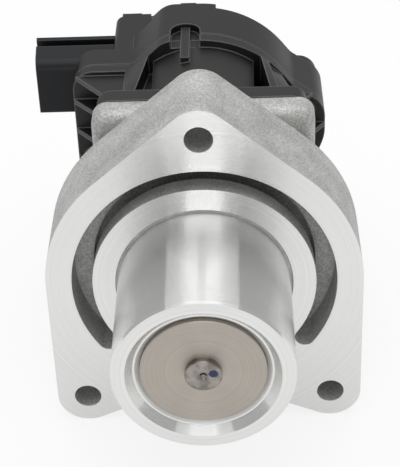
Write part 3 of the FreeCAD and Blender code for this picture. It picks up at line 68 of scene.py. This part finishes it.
# %% [markdown]
# The camera stands in front of the nozzle and looks down at it by 34 degrees.
# Its place was worked out from the bolt holes, the nozzle and the slot, whose sizes are known,
# so it is set from three angles and one point instead of being aimed by eye.

# %% The photograph's camera
CAMERA_PLACE = Vector((9.228, -294.171, 216.041)) * MM
PITCH, YAW, ROLL = 0.600, -0.033, -0.043
FOCAL_PIXELS = 1502.2
CENTRE_X, CENTRE_Y = 200.26, 234.50
SENSOR = 36.0
NEAREST, FARTHEST = 0.02, 20.0


def camera_axes(pitch, yaw, roll):
    """Right, up and forward of a camera that looks along +Y before it is turned."""
    level = math.cos(pitch)
    forward = Vector((math.sin(yaw) * level, math.cos(yaw) * level, -math.sin(pitch)))
    right = forward.cross(Vector((0, 0, 1))).normalized()
    up = right.cross(forward)
    turned_right = right * math.cos(roll) + up * math.sin(roll)
    turned_up = up * math.cos(roll) - right * math.sin(roll)
    return turned_right, turned_up, forward


right, up, forward = camera_axes(PITCH, YAW, ROLL)
camera = bpy.data.objects.new("camera", bpy.data.cameras.new("camera"))
camera.data.sensor_width = SENSOR
camera.data.lens = FOCAL_PIXELS * SENSOR / PHOTO_HEIGHT
camera.data.shift_x = (PHOTO_WIDTH / 2 - CENTRE_X) / PHOTO_HEIGHT
camera.data.shift_y = (CENTRE_Y - PHOTO_HEIGHT / 2) / PHOTO_HEIGHT
camera.data.clip_start, camera.data.clip_end = NEAREST, FARTHEST
turn = Matrix((right, up, -forward)).transposed().to_4x4()
camera.matrix_world = Matrix.Translation(CAMERA_PLACE) @ turn
bpy.context.scene.collection.objects.link(camera)
bpy.context.scene.camera = camera
print("lens", round(camera.data.lens, 2), "mm")

# %% [markdown]
# Shader maths reads best as plain expressions.
# Field wraps one socket, and Python's operators add the Math nodes that join it to others.
# Finish makes a material, and its one node method makes every other node.
# Noise and cell scales are in repeats per metre: 2000 is a grain of half a millimetre.


# %% Shader sockets that can be added and multiplied
EDGE_FROM, EDGE_TO = 0.01, 0.12
BEVEL_SAMPLES = 6
MARK_CHANCE_SCALE = 7919.0


class Field:
    """A number that changes over a surface."""

    def __init__(self, finish, socket):
        self.finish = finish
        self.socket = socket

    def _math(self, operation, *values):
        return self.finish.node("ShaderNodeMath", {"operation": operation}, *values)

    def __add__(self, other):
        return self._math("ADD", self, other)

    __radd__ = __add__

    def __sub__(self, other):
        return self._math("SUBTRACT", self, other)

    def __rsub__(self, other):
        return self._math("SUBTRACT", other, self)

    def __mul__(self, other):
        return self._math("MULTIPLY", self, other)

    __rmul__ = __mul__

    def __pow__(self, other):
        return self._math("POWER", self, other)

    def root(self):
        return self._math("SQRT", self)

    def over(self, low, high):
        """0 below low, 1 above high, and smooth between."""
        settings = {"interpolation_type": "SMOOTHSTEP"}
        return self.finish.node("ShaderNodeMapRange", settings, self, low, high, 0.0, 1.0)


class Finish:
    """A material in the making, with a Principled shader at its end."""

    def __init__(self, name):
        self.material = bpy.data.materials.new(name)
        self.material.use_nodes = True
        self.tree = self.material.node_tree
        self.tree.nodes.clear()
        self.shader = self.tree.nodes.new("ShaderNodeBsdfPrincipled")
        output = self.tree.nodes.new("ShaderNodeOutputMaterial")
        self.tree.links.new(self.shader.outputs[0], output.inputs[0])

    def feed(self, socket, value):
        if isinstance(value, Field):
            self.tree.links.new(value.socket, socket)
        elif value is not None:
            socket.default_value = value

    def node(self, kind, settings, *values, named=None, out=0):
        """One node: its settings first, then its sockets in order, then those given by name."""
        made = self.tree.nodes.new(kind)
        for key, value in settings.items():
            setattr(made, key, value)
        for socket, value in zip(made.inputs, values):
            self.feed(socket, value)
        for key, value in (named or {}).items():
            self.feed(made.inputs[key], value)
        return Field(self, made.outputs[out])

    def point(self):
        return self.node("ShaderNodeTexCoord", {}, out=3)

    def normal(self):
        return self.node("ShaderNodeNewGeometry", {}, out=1)

    def parts(self, vector):
        """The x, y and z of a vector."""
        made = self.node("ShaderNodeSeparateXYZ", {}, vector)
        return [Field(self, socket) for socket in made.socket.node.outputs]

    def joined(self, x, y, z):
        return self.node("ShaderNodeCombineXYZ", {}, x, y, z)

    def vector(self, operation, *values):
        return self.node("ShaderNodeVectorMath", {"operation": operation}, *values)

    def vector_number(self, operation, *values):
        return self.node("ShaderNodeVectorMath", {"operation": operation}, *values, out=1)

    def scaled(self, vector, factor):
        settings = {"operation": "SCALE"}
        return self.node("ShaderNodeVectorMath", settings, vector, named={"Scale": factor})

    def noise(self, scale, detail=2.0, rough=0.5):
        values = {"Vector": self.point(), "Scale": scale, "Detail": detail, "Roughness": rough}
        return self.node("ShaderNodeTexNoise", {"normalize": True}, named=values)

    def noise_along(self, distance, scale, rough=0.5):
        """Noise that changes along one number, such as the distance from an axis."""
        values = {"W": distance, "Scale": scale, "Detail": 3.0, "Roughness": rough}
        return self.node("ShaderNodeTexNoise", {"noise_dimensions": "1D"}, named=values)

    def cells(self, scale):
        """Distance to the nearest of many scattered points."""
        return self.node("ShaderNodeTexVoronoi", {}, named={"Vector": self.point(), "Scale": scale})

    def blend(self, factor, one, other):
        """A colour that goes from one to other as factor goes from 0 to 1."""
        made = self.tree.nodes.new("ShaderNodeMix")
        made.data_type = "RGBA"
        for index, value in ((0, factor), (6, one), (7, other)):
            if isinstance(value, tuple):
                value = (*value, 1.0)
            self.feed(made.inputs[index], value)
        return Field(self, made.outputs[2])

    def bump(self, height, depth, strength=1.0, normal=None):
        values = {"Height": height, "Distance": depth, "Strength": strength}
        if normal is not None:
            values["Normal"] = normal
        return self.node("ShaderNodeBump", {}, named=values)

    def rounded(self, radius):
        """The normal as it is on an edge that the tool or the mould left slightly round."""
        return self.node("ShaderNodeBevel", {"samples": BEVEL_SAMPLES}, radius)

    def edges(self, radius):
        """1 on the edges of a piece, and 0 on its faces."""
        agree = self.vector_number("DOT_PRODUCT", self.rounded(radius), self.normal())
        return (1.0 - agree).over(EDGE_FROM, EDGE_TO)

    def turned(self, amount):
        """The normal tilted at random across turning marks that run round the valve's axis."""
        normal = self.normal()
        x, y, z = self.parts(self.point())
        along_marks = self.joined(z, 0.0, x * -1.0)
        across = self.vector("NORMALIZE", self.vector("CROSS_PRODUCT", normal, along_marks))
        reach = (x * x + z * z).root() + y
        draw = {"W": reach * MARK_CHANCE_SCALE}
        chance = self.node("ShaderNodeTexWhiteNoise", {"noise_dimensions": "1D"}, named=draw)
        tilt = chance * 2.0 - 1.0
        shift = self.scaled(across, (tilt + tilt * tilt * tilt) * amount)
        return self.vector("NORMALIZE", self.vector("ADD", normal, shift))

    def done(self, color, rough, metal=0.0, normal=None, **constants):
        """Joins the values to the shader. Constants name their sockets, with _ for a space."""
        values = {"Base Color": color, "Roughness": rough, "Metallic": metal, "Normal": normal}
        for key, value in values.items():
            self.feed(self.shader.inputs[key], value)
        for key, value in constants.items():
            self.shader.inputs[key.replace("_", " ")].default_value = value
        return self.material


def dress(material, *names):
    """Gives CAD nodes their finish."""
    for name in names:
        slots = nodes[name].data.materials
        slots.clear()
        slots.append(material)
    print(material.name, "on", ", ".join(names))


# %% [markdown]
# The casting and its nozzle are aluminium, and they show two kinds of surface.
# The skin keeps the grain of the sand, and the flange face and the nozzle are turned bright.
# The turning marks are finer than a pixel, so they are made as a random tilt across the marks,
# which stretches reflections the way the real marks do. A mask on depth tells the surfaces apart.


# %% Cast and turned aluminium
FACE_DEPTHS = (0.02 * MM, 0.06 * MM)    # the turned face ends, and the cast skin begins
CAST_EDGE = 0.5 * MM
CAST_DARK, CAST_LIGHT = (0.34, 0.345, 0.33), (0.68, 0.685, 0.665)
TURNED_DARK, TURNED_LIGHT = (0.70, 0.705, 0.695), (0.86, 0.865, 0.855)
# Painted highlight: the light colour that the cast edges are blended towards.
PAINTED_EDGE_HIGHLIGHT = (0.86, 0.865, 0.86)


def cast_skin(finish):
    """Colour and normal of the sand cast skin, with a highlight painted along its edges."""
    sand = finish.noise(2100.0, 2.0, 0.7)
    patches = finish.noise(110.0, 3.0, 0.6)
    tone = sand.over(0.36, 0.64) * 0.65 + patches.over(0.3, 0.7) * 0.35
    speckle = finish.blend(tone, CAST_DARK, CAST_LIGHT)
    # Painted highlight along the cast edges, as if their rounding caught the lamp.
    color = finish.blend(finish.edges(CAST_EDGE) * 0.6, speckle, PAINTED_EDGE_HIGHLIGHT)
    height = sand + finish.cells(2400.0) * 0.5
    return color, finish.bump(height, 0.05 * MM, 0.8, finish.rounded(CAST_EDGE))


def turned_metal(finish, reach):
    """Colour and normal of the turned faces, with rings that change along reach."""
    marks = finish.noise_along(reach, 1700.0)
    drift = finish.noise(35.0)
    color = finish.blend(drift * 0.3 + marks * 0.7, TURNED_DARK, TURNED_LIGHT)
    return color, finish.turned(0.18)


def cast_aluminium():
    finish = Finish("cast_aluminium")
    x, y, z = finish.parts(finish.point())
    turned_here = 1.0 - y.over(*FACE_DEPTHS)
    skin, skin_normal = cast_skin(finish)
    bright, bright_normal = turned_metal(finish, (x * x + z * z).root() + y)
    normal = finish.node("ShaderNodeMix", {"data_type": "VECTOR"}, turned_here, None, None, None,
                         skin_normal, bright_normal, out=1)
    return finish.done(finish.blend(turned_here, skin, bright), 0.60 - turned_here * 0.50,
                       0.45 + turned_here * 0.55, normal)


dress(cast_aluminium(), "valve_body", "nozzle_tube")

# %% [markdown]
# The seat ring, disc and stem are stainless steel, tanned a little by test heat.
# Rings of slightly different gloss follow the tool's path from the rim to the middle.


# %% Turned steels and the metals inside
def turned_steel(name, dark, light, tilt, rough, metal=1.0):
    finish = Finish(name)
    x, y, z = finish.parts(finish.point())
    rings = finish.noise_along((x * x + z * z).root() + y, 1500.0, 0.6)
    stain = finish.noise(120.0, 3.0, 0.6)
    color = finish.blend(rings * 0.6 + stain * 0.4, dark, light)
    return finish.done(color, rings * 0.12 + rough, metal, finish.turned(tilt))


# name: dark and light colour, tilt of the turning marks, roughness, metallic share
STEELS = {
    "disc_steel": ((0.36, 0.325, 0.285), (0.54, 0.50, 0.45), 0.22, 0.30),
    "seat_steel": ((0.82, 0.82, 0.81), (0.94, 0.94, 0.93), 0.10, 0.28, 0.5),
    "plain_steel": ((0.42, 0.43, 0.44), (0.56, 0.57, 0.58), 0.05, 0.30),
    "zinc_steel": ((0.52, 0.52, 0.50), (0.66, 0.66, 0.63), 0.04, 0.34),
    "bronze": ((0.42, 0.27, 0.13), (0.58, 0.40, 0.21), 0.08, 0.36),
    "copper": ((0.48, 0.20, 0.09), (0.62, 0.29, 0.14), 0.08, 0.32),
    "tin": ((0.66, 0.66, 0.64), (0.78, 0.78, 0.76), 0.02, 0.25),
}
STEEL_PIECES = {
    "disc_steel": ("valve_disc",),
    "seat_steel": ("seat_ring",),
    "plain_steel": ("seal_retainer", "spring_plate", "plate_collet", "cross_pin", "cam_sleeve",
                    "roller_guide", "idler_pinion", "idler_axle", "motor_shaft", "rotor_core",
                    "motor_pinion", "return_spring"),
    "zinc_steel": ("housing_screws", "cover_screws", "motor_can"),
    "bronze": ("stem_guide_bush", "cam_rollers", "guide_rollers", "cam_bush", "motor_bushes"),
    "copper": ("rotor_windings", "commutator"),
    "tin": ("connector_pins",),
}

for name, values in STEELS.items():
    dress(turned_steel(name, *values), *STEEL_PIECES[name])

# %% [markdown]
# The stem's head is duller than the disc, and an inspector marked it with a dot of blue ink.
# The dot is a mask on the distance from its middle, made uneven by a little noise.

# %% The stem's head
INK_X, INK_Z = 2.28 * MM, 0.66 * MM
INK_R, INK_BLUR = 1.1 * MM, 0.4 * MM
HEAD_DEPTHS = (-34.4 * MM, -34.2 * MM)    # the head's face ends between these
INK = (0.02, 0.028, 0.09)
STEM_DARK, STEM_LIGHT = (0.20, 0.185, 0.165), (0.38, 0.355, 0.32)


def marked_stem():
    finish = Finish("stem_steel")
    x, y, z = finish.parts(finish.point())
    from_dot = ((x - INK_X) ** 2.0 + (z - INK_Z) ** 2.0).root()
    wobble = finish.noise(900.0) * (0.5 * MM)
    inside = 1.0 - (from_dot + wobble).over(INK_R, INK_R + INK_BLUR)
    dot = inside * (1.0 - y.over(*HEAD_DEPTHS))
    steel = finish.blend(finish.noise(420.0, 3.0, 0.6).over(0.3, 0.7), STEM_DARK, STEM_LIGHT)
    color = finish.blend(dot, steel, INK)
    return finish.done(color, dot * 0.15 + 0.28, 1.0 - dot * 0.9, finish.turned(0.16))


dress(marked_stem(), "valve_stem")

# %% [markdown]
# The actuator is moulded in glass filled plastic, which shows as a fine matt grain.
# The housing is set darker than the cover, as painted shade for its deep recesses, and the connector
# is a smoother, bluer black.


# %% Moulded plastics
MOULD_EDGE = 0.5 * MM
# Width of the highlight painted along the plastic edges.
PAINTED_HIGHLIGHT_WIDTH = 0.6 * MM


def moulded(name, dark, light, rough, grain_depth, painted_highlight, gloss=0.5):
    """A plastic with a highlight painted along its edges, lighter than its faces by the given
    amount.
    """
    finish = Finish(name)
    grain = finish.noise(2600.0, 2.0, 0.6)
    cloud = finish.noise(90.0, 3.0, 0.55)
    speck = finish.cells(2200.0)
    base = finish.blend(cloud * 0.7 + grain * 0.3, dark, light)
    # Painted highlight: the edges are blended towards a lighter colour, as if they caught the lamp.
    color = finish.blend(finish.edges(PAINTED_HIGHLIGHT_WIDTH), base, tuple(tone + painted_highlight for tone in light))
    normal = finish.bump(grain + speck * 0.5, grain_depth, 0.7, finish.rounded(MOULD_EDGE))
    return finish.done(color, cloud * 0.12 + rough, 0.0, normal, Specular_IOR_Level=gloss)


# name: dark and light colour, roughness, depth of the grain, painted highlight on the edges, gloss
PLASTICS = {
    # Painted shade: the housing's colours are darker than the cover's so that its recesses read
    # dark.
    "housing_plastic": ((0.003, 0.003, 0.0032), (0.006, 0.006, 0.0065), 0.38, 0.03 * MM, 0.14, 0.62),
    "cover_plastic": ((0.004, 0.0042, 0.0042), (0.008, 0.0082, 0.0082), 0.40, 0.03 * MM, 0.14, 0.56),
    "connector_plastic": ((0.004, 0.0045, 0.006), (0.007, 0.008, 0.010), 0.34, 0.02 * MM, 0.06, 0.3),
    "seal_rubber": ((0.010, 0.010, 0.010), (0.018, 0.018, 0.018), 0.60, 0.03 * MM, 0.02),
    "gear_plastic": ((0.60, 0.57, 0.50), (0.70, 0.67, 0.60), 0.45, 0.01 * MM, 0.05),
    "magnet_powder": ((0.045, 0.045, 0.05), (0.075, 0.075, 0.08), 0.55, 0.02 * MM, 0.04),
    "board_coat": ((0.015, 0.09, 0.045), (0.025, 0.13, 0.065), 0.35, 0.01 * MM, 0.05),
}
PLASTIC_PIECES = {
    "housing_plastic": ("actuator_housing",),
    "cover_plastic": ("rear_cover",),
    "connector_plastic": ("connector_shell",),
    "seal_rubber": ("stem_seal", "housing_seal", "cover_seal"),
    "gear_plastic": ("cam_gear", "idler_gear", "magnet_holder", "motor_end_cap"),
    "magnet_powder": ("motor_magnets", "sensor_magnet", "motor_brushes"),
    "board_coat": ("sensor_board",),
}

for name, values in PLASTICS.items():
    dress(moulded(name, *values), *PLASTIC_PIECES[name])

# %% [markdown]
# A solid model's spring is stiff, but the real one shortens as the stem pushes the disc out. A copy
# of its mesh stands for it, joined to the valve's body.


# %% A copy of the return spring
def springy_copy(name, node_name):
    """A copy of a CAD spring, joined to the valve's body in place of the CAD node."""
    node = nodes[node_name]
    mesh = node.data.copy()
    mesh.transform(node.matrix_world)
    copy = bpy.data.objects.new(name, mesh)
    bpy.context.scene.collection.objects.link(copy)
    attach(copy, "valve")
    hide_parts(node_name)
    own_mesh(copy)


springy_copy("return_coil", "return_spring")

# %% [markdown]
# The part lies over a pale floor. The floor shows the camera paper white by glowing a little,
# and its other share stays paint, so that it still takes the part's shadow. The metal mirrors the
# floor too, at a share of its own.

# %% Floor
FLOOR_Z = CAD_BOX[0][2]
FLOOR_SIZE, FLOOR_DROP = 6.0, 0.1 * MM
PAPER_SHARE, MIRROR_SHARE = 0.80, 0.48
GLOW = 1.02
bpy.ops.mesh.primitive_plane_add(size=FLOOR_SIZE, location=(0, 0, FLOOR_Z - FLOOR_DROP))
floor = bpy.context.object
floor.name = "floor"
floor_paint = Finish("floor_paint")
grit = floor_paint.noise(3.0)
paper = floor_paint.done(floor_paint.blend(grit, (0.88, 0.88, 0.88), (0.90, 0.90, 0.90)), 0.9)
glow = floor_paint.tree.nodes.new("ShaderNodeEmission")
glow.inputs["Color"].default_value = (1, 1, 1, 1)
glow.inputs["Strength"].default_value = GLOW
seen = floor_paint.node("ShaderNodeLightPath", {})
mirrored = floor_paint.node("ShaderNodeLightPath", {}, out=3)
mix = floor_paint.tree.nodes.new("ShaderNodeMixShader")
floor_paint.tree.links.new((seen * PAPER_SHARE + mirrored * MIRROR_SHARE).socket, mix.inputs[0])
floor_paint.tree.links.new(floor_paint.shader.outputs[0], mix.inputs[1])
floor_paint.tree.links.new(glow.outputs[0], mix.inputs[2])
floor_paint.tree.links.new(mix.outputs[0], floor_paint.tree.nodes["Material Output"].inputs[0])
floor.data.materials.append(paper)
print("floor at", round(FLOOR_Z / MM, 1), "mm")

# %% [markdown]
# The room round the part is dim, though the camera sees it white.

# %% World
ROOM_LEVEL, SEEN_LEVEL = 0.48, 1.0
world = bpy.data.worlds.new("studio")
bpy.context.scene.world = world
world.use_nodes = True
sky = world.node_tree
background = sky.nodes["Background"]
background.inputs["Color"].default_value = (1, 1, 1, 1)
path = sky.nodes.new("ShaderNodeLightPath")
level = sky.nodes.new("ShaderNodeMapRange")
level.inputs["To Min"].default_value = ROOM_LEVEL
level.inputs["To Max"].default_value = SEEN_LEVEL
sky.links.new(path.outputs["Is Camera Ray"], level.inputs["Value"])
sky.links.new(level.outputs[0], background.inputs["Strength"])
print("room level", ROOM_LEVEL)

# %% [markdown]
# Steel and turned aluminium show what stands round them, so a lamp's size matters more than its
# power. The wide lamp overhead draws the bright band along the top of the nozzle, and a small one
# in front lifts the faces that look at the camera.


# %% Lamps
def softbox(name, place, aim, width, height, radiance):
    """A lamp whose power follows from its size, so that it looks equally bright at any size."""
    lamp = bpy.data.lights.new(name, "AREA")
    lamp.shape = "RECTANGLE"
    lamp.size, lamp.size_y = width, height
    lamp.energy = radiance * math.pi * width * height
    holder = bpy.data.objects.new(name, lamp)
    holder.location = place
    holder.rotation_euler = (Vector(aim) - Vector(place)).to_track_quat("-Z", "Y").to_euler()
    bpy.context.scene.collection.objects.link(holder)
    print(name, round(lamp.energy, 2), "W")


softbox("top_lamp", (0.0, 0.10, 0.70), (0, 0.05, 0), 1.10, 1.0, 1.3)
softbox("front_lamp", (0.0, -0.80, 0.24), (0, 0, 0), 0.34, 0.40, 2.1)

# %% [markdown]
# The last cell sets the colour transform.

# %% Settings
bpy.context.scene.view_settings.view_transform = "Standard"
